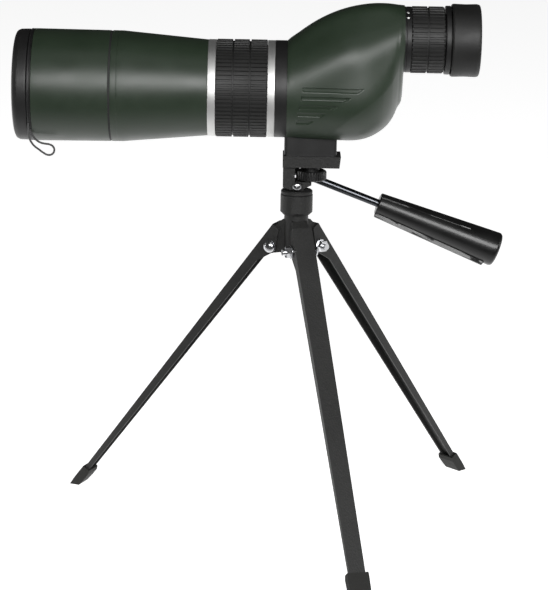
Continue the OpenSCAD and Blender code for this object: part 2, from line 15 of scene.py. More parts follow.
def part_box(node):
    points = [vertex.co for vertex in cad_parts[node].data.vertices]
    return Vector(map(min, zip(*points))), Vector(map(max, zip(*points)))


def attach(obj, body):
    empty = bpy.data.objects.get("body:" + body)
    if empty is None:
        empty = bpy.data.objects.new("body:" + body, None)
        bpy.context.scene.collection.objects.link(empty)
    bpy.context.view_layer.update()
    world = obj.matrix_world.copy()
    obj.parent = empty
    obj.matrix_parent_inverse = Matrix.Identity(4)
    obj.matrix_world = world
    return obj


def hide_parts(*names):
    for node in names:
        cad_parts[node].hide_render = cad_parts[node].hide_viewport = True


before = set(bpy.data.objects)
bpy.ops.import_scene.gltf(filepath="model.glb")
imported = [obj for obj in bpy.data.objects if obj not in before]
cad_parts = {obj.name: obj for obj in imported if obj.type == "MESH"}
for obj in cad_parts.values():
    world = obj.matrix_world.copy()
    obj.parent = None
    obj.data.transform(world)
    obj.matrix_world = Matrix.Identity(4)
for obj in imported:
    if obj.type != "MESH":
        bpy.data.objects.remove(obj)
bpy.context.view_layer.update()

mm = 0.001

# ---- Where things are ----


def span(node, axis=0):
    """Lowest and highest value of a CAD node along an axis."""
    low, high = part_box(node)
    return low[axis], high[axis]


def middle(node, axis):
    return sum(span(node, axis)) / 2


def radius(node, axis=2):
    low, high = span(node, axis)
    return (high - low) / 2


COLUMN = Vector((middle("pan_collar", 0), middle("pan_collar", 1), 0))
TUBE = Vector((COLUMN.x, middle("objective_hood", 1), middle("objective_hood", 2)))
EYE = Vector((COLUMN.x, middle("eyecup", 1), middle("eyecup", 2)))

# ---- Camera ----

CAMERA_DISTANCE = 1.495
CAMERA_ELEVATION = math.radians(13.9)
CAMERA_ROLL = math.radians(1.05)
LOOK_AT = COLUMN + Vector((-13.4 * mm, 0, 149.8 * mm))
# Blender's own units for these two are millimetres
CAMERA_LENS, SENSOR_WIDTH = 140.3, 36

camera_data = bpy.data.cameras.new("camera")
camera = bpy.data.objects.new("camera", camera_data)
bpy.context.scene.collection.objects.link(camera)
camera_data.sensor_width = SENSOR_WIDTH
camera_data.lens = CAMERA_LENS
camera_data.clip_start, camera_data.clip_end = 0.05, 100
camera.location = LOOK_AT + CAMERA_DISTANCE * Vector(
    (0, -math.cos(CAMERA_ELEVATION), math.sin(CAMERA_ELEVATION))
)
camera.rotation_euler = (
    Matrix.Rotation(math.pi / 2 - CAMERA_ELEVATION, 3, "X")
    @ Matrix.Rotation(CAMERA_ROLL, 3, "Z")
).to_euler()
bpy.context.scene.camera = camera

# ---- Materials ----


class Nodes:
    """A material's node tree, with short ways to add and join nodes."""

    def __init__(self, name):
        self.material = bpy.data.materials.new(name)
        self.material.use_nodes = True
        self.tree = self.material.node_tree
        self.shader = self.tree.nodes["Principled BSDF"]
        self.coords = self.tree.nodes.new("ShaderNodeTexCoord").outputs["Object"]

    def add(self, kind, **settings):
        node = self.tree.nodes.new(kind)
        for key, value in settings.items():
            setattr(node, key, value)
        return node

    def join(self, source, target):
        self.tree.links.new(source, target)

    def noise(self, size, detail=4.0, stretch=(1, 1, 1), rough=0.55):
        """Noise whose features are about size across, stretched along the object's axes."""
        place = self.add("ShaderNodeMapping")
        place.inputs["Scale"].default_value = [1 / s for s in stretch]
        self.join(self.coords, place.inputs["Vector"])
        noise = self.add("ShaderNodeTexNoise")
        noise.inputs["Scale"].default_value = 1 / size
        noise.inputs["Detail"].default_value = detail
        noise.inputs["Roughness"].default_value = rough
        self.join(place.outputs["Vector"], noise.inputs["Vector"])
        return noise.outputs["Fac"]

    def remap(self, value, low, high, from_low=0.3, from_high=0.7):
        node = self.add("ShaderNodeMapRange")
        node.inputs["From Min"].default_value = from_low
        node.inputs["From Max"].default_value = from_high
        node.inputs["To Min"].default_value = low
        node.inputs["To Max"].default_value = high
        self.join(value, node.inputs["Value"])
        return node.outputs["Result"]

    def blend(self, factor, first, second):
        """A mix of two colours, each a colour or a socket."""
        node = self.add("ShaderNodeMix", data_type="RGBA")
        self.join(factor, node.inputs["Factor"])
        for key, value in (("A", first), ("B", second)):
            socket = [s for s in node.inputs if s.name == key and s.type == "RGBA"][0]
            if isinstance(value, (tuple, list)):
                socket.default_value = (*value, 1)
            else:
                self.join(value, socket)
        return [s for s in node.outputs if s.type == "RGBA"][0]

    def bump(self, height, distance):
        node = self.add("ShaderNodeBump")
        node.inputs["Distance"].default_value = distance
        self.join(height, node.inputs["Height"])
        return node.outputs["Normal"]


def shade(colour, factor):
    return tuple(c * factor for c in colour)


COAT_ROUGHNESS = 0.08


def surface(
    name,
    colour,
    rough,
    metallic=0.0,
    vary=0.2,
    rough_vary=0.06,
    grain=0.6 * mm,
    grain_height=0.01 * mm,
    blotch=18 * mm,
    stretch=(1, 1, 1),
    coat=0.0,
    specular=0.5,
):
    """A finish with broad and fine colour change, uneven gloss, and grain in the surface."""
    n = Nodes(name)
    broad = n.noise(blotch, 3.0)
    fine = n.noise(grain, 5.0, stretch)
    tone = n.blend(n.remap(broad, 0, 1), shade(colour, 1 - vary), shade(colour, 1 + vary))
    tone = n.blend(n.remap(fine, 0, 0.5), tone, shade(colour, 1 + 2 * vary))
    n.join(tone, n.shader.inputs["Base Color"])
    uneven = n.add("ShaderNodeMath", operation="ADD")
    n.join(n.remap(broad, rough - rough_vary, rough + rough_vary), uneven.inputs[0])
    n.join(n.remap(fine, -rough_vary / 2, rough_vary / 2), uneven.inputs[1])
    n.join(uneven.outputs["Value"], n.shader.inputs["Roughness"])
    n.join(n.bump(fine, grain_height), n.shader.inputs["Normal"])
    n.shader.inputs["Metallic"].default_value = metallic
    n.shader.inputs["Coat Weight"].default_value = coat
    n.shader.inputs["Coat Roughness"].default_value = COAT_ROUGHNESS
    n.shader.inputs["Specular IOR Level"].default_value = specular
    return n.material


def glass(name, tint, film):
    """Coated optical glass: clear, with a faint coloured reflection."""
    n = Nodes(name)
    n.join(
        n.blend(n.remap(n.noise(9 * mm), 0, 1), tint, shade(tint, 0.94)),
        n.shader.inputs["Base Color"],
    )
    n.join(n.remap(n.noise(2 * mm), 0.0, 0.04), n.shader.inputs["Roughness"])
    n.shader.inputs["Transmission Weight"].default_value = 1.0
    n.shader.inputs["IOR"].default_value = 1.52
    n.shader.inputs["Specular Tint"].default_value = (*film, 1)
    return n.material


GREEN = surface(
    "green_satin", (0.0145, 0.0245, 0.0138), 0.41, vary=0.1, rough_vary=0.04, grain=0.45 * mm,
    grain_height=0.012 * mm,
)
BLACK = surface(
    "black_satin", (0.006, 0.006, 0.006), 0.46, grain=0.5 * mm, grain_height=0.01 * mm, specular=0.4
)
MATT = surface("black_matt", (0.008, 0.008, 0.008), 0.7, grain=0.5 * mm, grain_height=0.01 * mm)
RUBBER = surface(
    "black_rubber", (0.0075, 0.0075, 0.0072), 0.55, rough_vary=0.08, grain=0.5 * mm, grain_height=0.03 * mm,
    specular=0.4,
)
BOOT = surface(
    "boot_rubber", (0.010, 0.010, 0.009), 0.7, grain=0.9 * mm, grain_height=0.12 * mm, specular=0.3
)
SILVER = surface(
    "turned_aluminium", (0.62, 0.62, 0.61), 0.52, metallic=1.0, vary=0.04, rough_vary=0.03, grain=0.25 * mm,
    grain_height=0.001 * mm, stretch=(1, 60, 60),
)
CRINKLE = surface(
    "crinkle_paint", (0.0092, 0.0092, 0.0088), 0.52, vary=0.6, grain=1.0 * mm, grain_height=0.22 * mm,
    rough_vary=0.05, blotch=60 * mm, specular=0.35,
)
CHROME = surface(
    "chrome", (0.55, 0.555, 0.57), 0.2, metallic=1.0, vary=0.06, grain=0.8 * mm, grain_height=0.002 * mm
)
STEEL = surface(
    "dark_chrome", (0.07, 0.073, 0.08), 0.22, metallic=1.0, vary=0.06, grain=0.8 * mm, grain_height=0.002 * mm
)
BRASS = surface("brass", (0.55, 0.38, 0.14), 0.3, metallic=1.0, vary=0.1)
GLOSS = surface(
    "gloss_grip", (0.005, 0.005, 0.005), 0.33, vary=0.2, rough_vary=0.05, grain=1.2 * mm,
    grain_height=0.006 * mm, coat=0.12, specular=0.4,
)
CORD = surface("tether_cord", (0.04, 0.04, 0.04), 0.5, grain=0.5 * mm, grain_height=0.05 * mm)
MARK = surface("white_mark", (0.75, 0.75, 0.73), 0.5, vary=0.05)
LENS = glass("coated_glass", (0.93, 0.98, 0.96), (0.6, 0.9, 0.7))

# ---- Shapes ----


def mesh_object(name, verts, faces, material, body, replaces=(), sharp=35):
    """A mesh piece on a CAD body, smooth but for edges sharper than sharp degrees."""
    mesh = bpy.data.meshes.new(name)
    mesh.from_pydata([tuple(v) for v in verts], [], faces)
    work = bmesh.new()
    work.from_mesh(mesh)
    bmesh.ops.recalc_face_normals(work, faces=work.faces)
    work.to_mesh(mesh)
    work.free()
    mesh.materials.append(material)
    mesh.shade_smooth()
    mesh.set_sharp_from_angle(angle=math.radians(sharp))
    piece = bpy.data.objects.new(name, mesh)
    bpy.context.scene.collection.objects.link(piece)
    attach(piece, body)
    if replaces:
        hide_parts(*replaces)
    return piece


# A point with a smaller radius than this is on the axis
ON_AXIS = 1e-7


def soften(outline, amount, steps=3):
    """A closed outline of (station, radius) points, with every corner off the axis rounded."""
    points = [Vector(p) for p in outline]
    made = []
    for i, corner in enumerate(points):
        before, after = points[i - 1], points[(i + 1) % len(points)]
        if corner.y < ON_AXIS:
            made.append(corner)
            continue
        reach = min(amount, 0.45 * (before - corner).length, 0.45 * (after - corner).length)
        start = corner + (before - corner).normalized() * reach
        end = corner + (after - corner).normalized() * reach
        for k in range(steps + 1):
            t = k / steps
            made.append((1 - t) ** 2 * start + 2 * t * (1 - t) * corner + t * t * end)
    return made


def bridge(rings):
    """Faces between each ring of vertex numbers and the next, left out where they shrink to a line."""
    faces = []
    for a, b in zip(rings, rings[1:]):
        for k in range(len(a)):
            m = (k + 1) % len(a)
            corners = list(dict.fromkeys([a[k], a[m], b[m], b[k]]))
            if len(corners) > 2:
                faces.append(corners)
    return faces


def spun(section, frame_of, steps):
    """Vertices and faces of a closed section of (station, radius) points turned about an axis."""
    verts, rings = [], []
    for s, r in section:
        if r < ON_AXIS:
            rings.append([len(verts)] * steps)
            verts.append(frame_of(s, 0, 0))
            continue
        rings.append(list(range(len(verts), len(verts) + steps)))
        verts += [
            frame_of(s, r * math.cos(2 * math.pi * k / steps), r * math.sin(2 * math.pi * k / steps))
            for k in range(steps)
        ]
    return verts, bridge([*rings, rings[0]])


def along_x(centre):
    """Stations run along X, through centre."""
    return lambda s, p, q: (s, centre.y + p, centre.z + q)


def along_z(centre):
    """Stations run along Z, through centre."""
    return lambda s, p, q: (centre.x + p, centre.y + q, s)


def lathe(name, section, frame_of, material, body, replaces=(), round_by=0.3 * mm, steps=192):
    verts, faces = spun(soften(section, round_by), frame_of, steps)
    return mesh_object(name, verts, faces, material, body, replaces)


def ribbed(name, centre, node, bore, count, depth, grooves, end_bevel, material, body):
    """A sleeve along X with ribs along it, cut through by ring grooves and bevelled at both ends."""
    x0, x1 = span(node)
    outer = radius(node)
    valley = outer - depth
    groove_floor = valley - 0.3 * mm
    groove_half, wall = 0.45 * mm, 0.12 * mm
    # Each station is (x, highest radius allowed there)
    stations = [(x0, outer - end_bevel), (x0 + end_bevel, outer)]
    for g in grooves:
        stations += [
            (g - groove_half - wall, outer), (g - groove_half, groove_floor),
            (g + groove_half, groove_floor), (g + groove_half + wall, outer),
        ]
    stations += [(x1 - end_bevel, outer), (x1, outer - end_bevel)]
    # One rib and its gap, as (share of the pitch, height); the rib's corners are eased
    rib = [(0.00, 0.75), (0.05, 1.0), (0.52, 1.0), (0.57, 0.75), (0.62, 0.0), (0.95, 0.0)]
    turns = [(2 * math.pi * (i + share) / count, height) for i in range(count) for share, height in rib]
    place = along_x(centre)
    verts, rings = [], []
    for x, limit in [(x0, bore), *stations, (x1, bore)]:
        rings.append(range(len(verts), len(verts) + len(turns)))
        for a, height in turns:
            r = min(valley + depth * height, limit)
            verts.append(place(x, r * math.cos(a), r * math.sin(a)))
    return mesh_object(name, verts, bridge([*rings, rings[0]]), material, body, [node], sharp=30)


def knurled(name, path, count, depth, frame_of, material, body, replaces):
    """A closed path of (station, radius, share of the rib depth) turned about an axis, with ribs."""
    rib = [(0.00, 0.25), (0.06, 0.0), (0.50, 0.0), (0.56, 0.25), (0.64, 1.0), (0.92, 1.0)]
    turns = [(2 * math.pi * (i + share) / count, drop) for i in range(count) for share, drop in rib]
    verts, rings = [], []
    for s, r, share in path:
        rings.append(range(len(verts), len(verts) + len(turns)))
        for a, drop in turns:
            reach = r - share * depth * drop
            verts.append(frame_of(s, reach * math.cos(a), reach * math.sin(a)))
    return mesh_object(name, verts, bridge([*rings, rings[0]]), material, body, replaces, sharp=30)


# Edges of CAD nodes sharper than these are bevelled, and shaded as edges
EASED_EDGES = math.radians(32)
SHARP_EDGES = math.radians(30)


def finish_node(node, material, bevel=0.0):
    """A CAD node shown as it is, with its edges eased and a real finish."""
    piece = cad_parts[node]
    piece.data.materials.clear()
    piece.data.materials.append(material)
    piece.data.shade_smooth()
    piece.data.set_sharp_from_angle(angle=SHARP_EDGES)
    if bevel:
        edge = piece.modifiers.new("eased_edges", "BEVEL")
        edge.width = bevel
        edge.segments = 2
        edge.limit_method = "ANGLE"
        edge.angle_limit = EASED_EDGES


# ---- Tether: a loop of soft cord at the rim ----

TETHER_D = 1.3 * mm
# Points along the cord's centreline, in mm from the column's and the tube's axes
TETHER_ROUTE = [
    (-169.2, -28.9, -19.8), (-169.3, -28.6, -22.6), (-169.3, -26.6, -26.6), (-169.0, -24.2, -30.4),
    (-168.0, -22.0, -33.6), (-166.2, -20.6, -36.2), (-163.6, -19.6, -38.4), (-160.8, -19.0, -40.6),
    (-158.0, -18.6, -42.0), (-155.4, -18.4, -41.5), (-154.0, -18.3, -39.2), (-154.8, -18.4, -36.6),
    (-157.0, -18.8, -35.2), (-159.6, -19.4, -34.7), (-162.2, -20.2, -34.0), (-164.6, -21.2, -32.4),
    (-166.4, -22.4, -30.2), (-167.5, -23.6, -27.9), (-168.2, -24.6, -26.2), (-168.3, -25.2, -24.4),
]
route = [TUBE + Vector(p) * mm for p in TETHER_ROUTE]
cord_curve = bpy.data.curves.new("cap_tether_cord", "CURVE")
cord_curve.dimensions = "3D"
cord_curve.bevel_depth = TETHER_D / 2
cord_curve.bevel_resolution = 4
cord_curve.use_fill_caps = True
spline = cord_curve.splines.new("BEZIER")
spline.bezier_points.add(len(route) - 1)
for point, place in zip(spline.bezier_points, route):
    point.co = place
    point.handle_left_type = point.handle_right_type = "AUTO"
spline.resolution_u = 6
cord_curve.materials.append(CORD)
tether = bpy.data.objects.new("cap_tether_cord", cord_curve)
bpy.context.scene.collection.objects.link(tether)
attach(tether, "tilt_head")
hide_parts("cap_tether")

# ---- Objective end ----

cap_x0, cap_x1 = span("objective_cap")
rim_x0, rim_x1 = span("objective_rim_ring")
hood_x0, hood_x1 = span("objective_hood")
barrel_x0, barrel_x1 = span("main_barrel")
hood_r = radius("objective_hood")
barrel_r = radius("main_barrel")
trim_r = radius("front_trim_ring")
cap_r = radius("objective_cap")
# The cap's plug, outside and inside, and how deep it is hollowed
PLUG_R, PLUG_BORE, PLUG_DEPTH = 31.95 * mm, 30.4 * mm, 12.5 * mm
PLUG_PLAY = 0.05 * mm
# The rim ring's spigot, and the bores of the hood, the lens cell and the rear of the tube
SPIGOT_R, HOOD_BORE, CELL_R, GUIDE_R = 33.4 * mm, 33 * mm, 32.5 * mm, 27.5 * mm

lathe(
    "lens_cap_shell",
    [
        (cap_x0 + 0.9 * mm, 0), (cap_x0 + 0.9 * mm, 23.5 * mm), (cap_x0 + 0.2 * mm, 24.3 * mm),
        (cap_x0, 26 * mm), (cap_x0 + 0.1 * mm, cap_r - 3.4 * mm), (cap_x0 + 1.0 * mm, cap_r - 1.2 * mm),
        (cap_x0 + 3.2 * mm, cap_r - 0.15 * mm), (rim_x0 - 1.3 * mm, cap_r),
        (rim_x0 - 0.3 * mm, cap_r - 0.15 * mm), (rim_x0 - 0.3 * mm, PLUG_R + 0.1 * mm),
        (rim_x0 - 0.3 * mm, PLUG_R), (rim_x0 - 0.2 * mm, PLUG_R), (cap_x1, PLUG_R), (cap_x1, PLUG_BORE),
        (cap_x1 - PLUG_DEPTH, PLUG_BORE), (cap_x1 - PLUG_DEPTH, 0),
    ],
    along_x(TUBE), BLACK, "lens_cap", ["objective_cap"], round_by=0.9 * mm,
)
lathe(
    "rim_ring",
    [
        (rim_x0, PLUG_R + PLUG_PLAY), (rim_x0, hood_r - 0.35 * mm), (rim_x0 + 0.35 * mm, hood_r),
        (rim_x0 + 1.1 * mm, hood_r), (rim_x0 + 1.25 * mm, hood_r - 0.3 * mm),
        (rim_x0 + 1.6 * mm, hood_r - 0.3 * mm), (rim_x0 + 1.75 * mm, hood_r), (hood_x0 - 0.25 * mm, hood_r),
        (hood_x0 - 0.1 * mm, hood_r - 0.35 * mm), (hood_x0 - 0.05 * mm, SPIGOT_R), (rim_x1, SPIGOT_R),
        (rim_x1, PLUG_R + PLUG_PLAY),
    ],
    along_x(TUBE), BLACK, "tilt_head", ["objective_rim_ring"], round_by=0.1 * mm,
)
lathe(
    "hood_shell",
    [
        (hood_x0, SPIGOT_R), (hood_x0, hood_r), (hood_x1, barrel_r), (hood_x1, CELL_R),
        (hood_x1 - 7.7 * mm, CELL_R), (hood_x1 - 7.7 * mm, HOOD_BORE), (hood_x0 + 4.4 * mm, HOOD_BORE),
        (hood_x0 + 4.4 * mm, SPIGOT_R),
    ],
    along_x(TUBE), GREEN, "tilt_head", ["objective_hood"], round_by=0.35 * mm,
)
lathe(
    "barrel_shell",
    [
        (barrel_x0, CELL_R), (barrel_x0, barrel_r), (barrel_x0 + 3.6 * mm, barrel_r),
        (barrel_x0 + 3.75 * mm, barrel_r - 0.12 * mm), (barrel_x0 + 4.0 * mm, barrel_r - 0.12 * mm),
        (barrel_x0 + 4.15 * mm, barrel_r), (barrel_x0 + 7 * mm, barrel_r - 0.05 * mm),
        (barrel_x0 + 12 * mm, barrel_r - 0.5 * mm), (barrel_x1, trim_r - 0.25 * mm),
        (barrel_x1, GUIDE_R), (barrel_x1 - 9.2 * mm, GUIDE_R + 0.5 * mm),
        (barrel_x0 + 12.5 * mm, CELL_R - 1 * mm), (barrel_x0 + 12.5 * mm, CELL_R),
    ],
    along_x(TUBE), GREEN, "tilt_head", ["main_barrel"], round_by=0.3 * mm,
)
finish_node("barrel_seam_ring", MATT)

# ---- Focus ring and its trim ----

for node in ("front_trim_ring", "rear_trim_ring"):
    x0, x1 = span(node)
    lathe(
        node + "_turned", [(x0, GUIDE_R), (x0, trim_r), (x1, trim_r), (x1, GUIDE_R)],
        along_x(TUBE), SILVER, "tilt_head", [node], round_by=0.35 * mm,
    )
FOCUS_GRIP_BORE, FOCUS_RIBS = 29.6 * mm, 68
focus_x0, focus_x1 = span("focus_ring_grip")
focus_grooves = [focus_x0 + (focus_x1 - focus_x0) * share for share in (0.33, 0.66)]
ribbed(
    "focus_ring_ribs", TUBE, "focus_ring_grip", FOCUS_GRIP_BORE, FOCUS_RIBS, 0.75 * mm, focus_grooves,
    0.45 * mm, RUBBER, "focus_ring",
)
adapter_x0, adapter_x1 = span("adapter_ring")
adapter_r = radius("adapter_ring")
lathe(
    "adapter_ring_turned",
    [(adapter_x0, GUIDE_R), (adapter_x0, adapter_r), (adapter_x1, adapter_r), (adapter_x1, GUIDE_R)],
    along_x(TUBE), BLACK, "tilt_head", ["adapter_ring"], round_by=0.3 * mm,
)

# ---- Prism housing: the CAD housing's outer form, smoothed, with a crease and pressed grooves ----

# Spacing of the housing's sections, directions measured in each, and reach of the smoothing
HOUSING_STEP = 0.4 * mm
LOOP_ANGLES = 360
SMOOTHING = 3 * mm
# Typical radius of a section, which turns the smoothing's reach into an angle
HOUSING_R = 33 * mm
# The smoothing fades out this near each end, and the sections' centres stay level this near each end
END_FADE, END_LEVEL = 4 * mm, 6 * mm
# A plane whose normal has less than this along a direction doesn't bound the reach in that direction
LEAST_SLOPE, UNBOUNDED = 1e-5, 1.0
# The grooved band of each side, from the tube's axis, and the points across it and around the rest
BAND_LOW, BAND_HIGH = -24 * mm, 9 * mm
BAND_ROWS, ARC_POINTS = 84, 70
# Where the band starts to climb to the eyepiece, how long it takes, how much it narrows, and the
# least distance it keeps from the section's top and bottom
CLIMB_START, CLIMB_LENGTH, BAND_NARROWING, BAND_MARGIN = 44 * mm, 20 * mm, 0.25, 2 * mm
# How far the side swells along the crease, how far that reaches above it, and how fast it falls below
RIDGE_HEIGHT = 1.7 * mm
RIDGE_REACH = 16 * mm
RIDGE_FALL = 10 * mm
# Where the ridge starts, how long it takes to rise, and how long before the rear face it fades
RIDGE_START, RIDGE_RISE, RIDGE_END = 14 * mm, 16 * mm, 8 * mm
# Grooves and ridge fade out this near the housing's middle plane
MIDDLE_FADE = 18 * mm
# Upper left corner of each groove, as (x, z) in mm from the column's axis and the tube's axis
GROOVES = [(2.1, 5.8), (1.2, 0.1), (0.0, -5.4), (-1.1, -10.6), (-1.7, -15.6)]
GROOVE_HEIGHT, GROOVE_DEPTH, GROOVE_WALL = 2.9 * mm, 0.8 * mm, 0.4 * mm
# The line that the grooves' right ends are cut along, and the crease behind it
CUT_START, CUT_END = (10.2, -15.5), (41.4, 6.5)
CREASE = [
    (10.0, -30.0), (22.3, -22.2), (33.8, -12.1), (45.5, -3.0), (52.7, 2.7), (58.5, 9.5), (61.7, 17.2),
    (63.0, 30.0),
]
# Distance from the slanting cut for each length along X, and from the crease for each height above it
CUT_LEAN, CREASE_LEAN = 0.57, 0.75
# The eyepiece tube's bore in the housing, and how deep the bores at the two ends are made
EYE_TUBE_R = 16.5 * mm
BORE_DEPTH, BACK_BORE_DEPTH = 8 * mm, 6 * mm


def ease(t):
    """A smooth rise from 0 to 1 as t goes from 0 to 1."""
    t = np.clip(t, 0, 1)
    return t * t * (3 - 2 * t)


def outer_planes(node):
    """Outward unit normals and offsets of the faces of a CAD node's convex hull."""
    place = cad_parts[node].matrix_world
    work = bmesh.new()
    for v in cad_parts[node].data.vertices:
        work.verts.new(place @ v.co)
    bmesh.ops.convex_hull(work, input=work.verts)
    corners = np.array([v.co for v in work.verts if v.link_faces])
    normals = np.array([f.normal for f in work.faces])
    offsets = np.array([f.normal.dot(f.verts[0].co) for f in work.faces])
    work.free()
    outward = np.where(normals @ corners.mean(axis=0) > offsets, -1, 1)
    normals, offsets = normals * outward[:, None], offsets * outward
    # A sliver's normal can be wrong: a true face has every corner behind it
    true = (normals @ corners.T).max(axis=1) < offsets + 0.01 * mm
    return normals[true], offsets[true]


def smoothed(field, reach, step, axis, wrap):
    """A field averaged along one of its axes by a bell curve of half-width reach."""
    half = int(3 * reach / step)
    bell = np.exp(-0.5 * (np.arange(-half, half + 1) * step / reach) ** 2)
    bell /= bell.sum()
    pad = [(0, 0), (0, 0)]
    pad[axis] = (half, half)
    padded = np.pad(field, pad, mode="wrap" if wrap else "edge")
    return np.apply_along_axis(lambda line: np.convolve(line, bell, mode="valid"), axis, padded)


def housing_radii(xs, centres, angles):
    """The CAD housing's reach from each section's centre in each direction, with its edges smoothed."""
    normals, offsets = outer_planes("prism_housing")
    slopes = normals[:, 1:2] * np.cos(angles) + normals[:, 2:3] * np.sin(angles)
    exact = []
    for x, z in zip(xs, centres):
        reach = (offsets - normals @ np.array([x, COLUMN.y, z]))[:, None]
        bounding = slopes > LEAST_SLOPE
        exact.append(np.where(bounding, reach / np.maximum(slopes, LEAST_SLOPE), UNBOUNDED).min(axis=0))
    exact = np.array(exact)
    soft = smoothed(exact, SMOOTHING, HOUSING_STEP, 0, False)
    soft = smoothed(soft, SMOOTHING, 2 * math.pi * HOUSING_R / LOOP_ANGLES, 1, True)
    inside = ease((xs - xs[0]) / END_FADE) * ease((xs[-1] - xs) / END_FADE)
    return exact + (soft - exact) * inside[:, None]


def groove_depth(u, w):
    """How deep the grooves are pressed at (u, w) from the column's axis and the tube's axis."""
    cut_slope = (CUT_END[0] - CUT_START[0]) / (CUT_END[1] - CUT_START[1])
    depth = np.zeros_like(w)
    for gx, gz in GROOVES:
        top, bottom = gz * mm - w, w - (gz * mm - GROOVE_HEIGHT)
        left = np.full_like(w, u - gx * mm)
        right = (CUT_START[0] * mm + cut_slope * (w - CUT_START[1] * mm)) - u
        edge = np.minimum.reduce([top, bottom, left, right * CUT_LEAN])
        depth = np.maximum(depth, GROOVE_DEPTH * np.clip(edge / GROOVE_WALL, 0, 1))
    return depth


def ridge_height(u, w):
    """How far the side swells along the crease at (u, w)."""
    crease = np.array(CREASE) * mm
    above = (w - np.interp(u, crease[:, 0], crease[:, 1])) * CREASE_LEAN
    swell = np.exp(-((above / RIDGE_REACH) ** 2))
    fall = np.clip(1 + above / RIDGE_FALL, -1, 1)
    return RIDGE_HEIGHT * np.where(above > 0, swell, fall)


def loop_directions(x, z0, r, angles, rise):
    """Directions of one section's points: even rows across the grooved band, arcs above and below."""
    half = LOOP_ANGLES // 2
    side_a = angles[: half + 1]
    side_z = z0 + r[: half + 1] * np.sin(side_a)
    share = float(ease((x - COLUMN.x - CLIMB_START) / CLIMB_LENGTH))
    width = 1 - BAND_NARROWING * share
    low = max(TUBE.z + BAND_LOW * width + rise * share, side_z[0] + BAND_MARGIN)
    high = min(TUBE.z + BAND_HIGH * width + rise * share, side_z[-1] - BAND_MARGIN)
    row_a = np.interp(np.linspace(low, high, BAND_ROWS), np.maximum.accumulate(side_z), side_a)
    under = np.linspace(side_a[0], row_a[0], ARC_POINTS // 2 + 1)[1:-1]
    over = np.linspace(row_a[-1], side_a[-1], ARC_POINTS // 2 + 1)[1:-1]
    quarter = np.concatenate([[side_a[0]], under, row_a, over])
    return np.concatenate([quarter, [side_a[-1]], math.pi - quarter[:0:-1]])


def housing_mesh():
    x0, x1 = span("prism_housing")[0], span("eyepiece_collar")[0]
    xs = np.linspace(x0, x1, int(round((x1 - x0) / HOUSING_STEP)) + 1)
    rise = EYE.z - TUBE.z
    centres = TUBE.z + rise * ease((xs - x0 - END_LEVEL) / (x1 - x0 - 2 * END_LEVEL))
    angles = 2 * math.pi * np.arange(LOOP_ANGLES) / LOOP_ANGLES - math.pi / 2
    verts, rings = [], []
    for x, z0, r in zip(xs, centres, housing_radii(xs, centres, angles)):
        loop_a = loop_directions(x, z0, r, angles, rise)
        loop_r = np.interp(loop_a, np.append(angles, angles[0] + 2 * math.pi), np.append(r, r[0]))
        y = loop_r * np.cos(loop_a)
        z = z0 + loop_r * np.sin(loop_a)
        # Grooves and crease, pressed in towards the middle on both sides
        u, w = x - COLUMN.x, z - TUBE.z
        fade = ease((u - RIDGE_START) / RIDGE_RISE) * ease((x1 - x) / RIDGE_END)
        depth = groove_depth(u, w) - ridge_height(u, w) * fade
        y = np.sign(y) * np.maximum(np.abs(y) - depth * ease(np.abs(y) / MIDDLE_FADE), 0)
        rings.append(range(len(verts), len(verts) + len(y)))
        verts += [(x, COLUMN.y + a, b) for a, b in zip(y, z)]

    def bore(x, centre_z, r, like):
        """A round loop at x whose points face the points of another loop."""
        start = len(verts)
        for k in like:
            a = math.atan2(verts[k][2] - centre_z, verts[k][1] - COLUMN.y)
            verts.append((x, COLUMN.y + r * math.cos(a), centre_z + r * math.sin(a)))
        return range(start, len(verts))

    inner = bore(x0, TUBE.z, GUIDE_R, rings[0])
    deep = bore(x0 + BORE_DEPTH, TUBE.z, GUIDE_R, rings[0])
    back_inner = bore(x1, EYE.z, EYE_TUBE_R, rings[-1])
    back_deep = bore(x1 - BACK_BORE_DEPTH, EYE.z, EYE_TUBE_R, rings[-1])
    faces = bridge([deep, inner, *rings, back_inner, back_deep])
    mesh_object("prism_housing_shell", verts, faces, GREEN, "tilt_head", ["prism_housing"], sharp=45)


housing_mesh()

# ---- Eyepiece ----

collar_x0, collar_x1 = span("eyepiece_collar")
collar_r = radius("eyepiece_collar")
lathe(
    "eyepiece_collar_turned",
    [
        (collar_x0, EYE_TUBE_R), (collar_x0, collar_r), (collar_x0 + 0.7 * mm, collar_r),
        (collar_x0 + 0.8 * mm, collar_r - 0.2 * mm), (collar_x0 + 1.1 * mm, collar_r - 0.2 * mm),
        (collar_x0 + 1.2 * mm, collar_r), (collar_x1, collar_r), (collar_x1, EYE_TUBE_R),
    ],
    along_x(EYE), BLACK, "tilt_head", ["eyepiece_collar"], round_by=0.15 * mm,
)
DOT_POINTS, DOT_SUNK, DOT_PROUD = 24, 0.2 * mm, 0.02 * mm
# Two light index dots on the collar, on the camera's side: degrees up from it, and radius
for dot_angle, dot_r in ((60.5, 0.65 * mm), (47.5, 0.8 * mm)):
    out = Vector((0, -math.cos(math.radians(dot_angle)), math.sin(math.radians(dot_angle))))
    up = out.cross(Vector((1, 0, 0)))
    seat = Vector((middle("eyepiece_collar", 0) - 0.2 * mm, EYE.y, EYE.z)) + out * (collar_r + DOT_PROUD)
    turns = [2 * math.pi * k / DOT_POINTS for k in range(DOT_POINTS)]
    top = [seat + Vector((dot_r * math.cos(t), 0, 0)) + up * dot_r * math.sin(t) for t in turns]
    low = [point - out * DOT_SUNK for point in top]
    top_ring, low_ring = range(DOT_POINTS), range(DOT_POINTS, 2 * DOT_POINTS)
    mesh_object(
        f"index_dot_{round(dot_angle)}", top + low,
        [list(top_ring), list(reversed(low_ring)), *bridge([top_ring, low_ring])], MARK, "tilt_head",
    )
